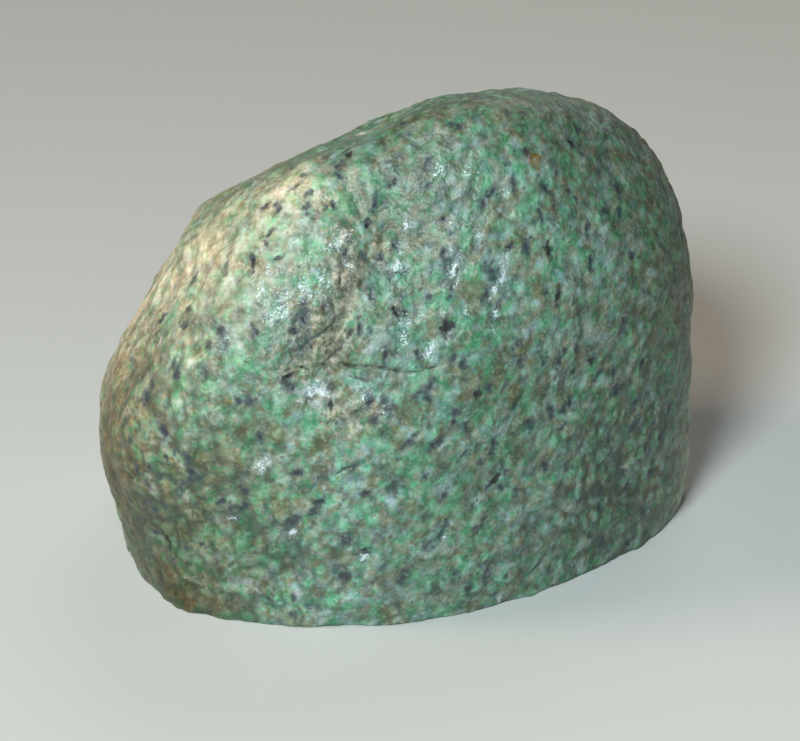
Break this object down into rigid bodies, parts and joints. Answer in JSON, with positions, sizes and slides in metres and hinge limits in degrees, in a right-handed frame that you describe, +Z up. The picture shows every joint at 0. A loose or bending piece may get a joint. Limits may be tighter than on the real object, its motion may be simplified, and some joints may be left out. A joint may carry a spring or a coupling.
{
  "type": "raw vesuvianite",
  "caption": "Water-worn boulder of raw vesuvianite with a humped top and a pitted skin, sawn flat underneath so that it stands.",
  "frame": {"origin": "centre of the bounding box at the sawn base, on the surface that the boulder stands on", "axes": "+X to the boulder's right as it is shown, along its longest side; +Y to its back; +Z up"},
  "size_m": [0.2034, 0.1574, 0.163],
  "materials": {
    "vesuvianite": "massive green vesuvianite mottled with tan and olive, dark specks in shallow pits, a naturally worn skin with a wet gloss and a dull sawn base"
  },
  "bodies": {
    "root": {"boulder": "vesuvianite"}
  },
  "joints": []
}
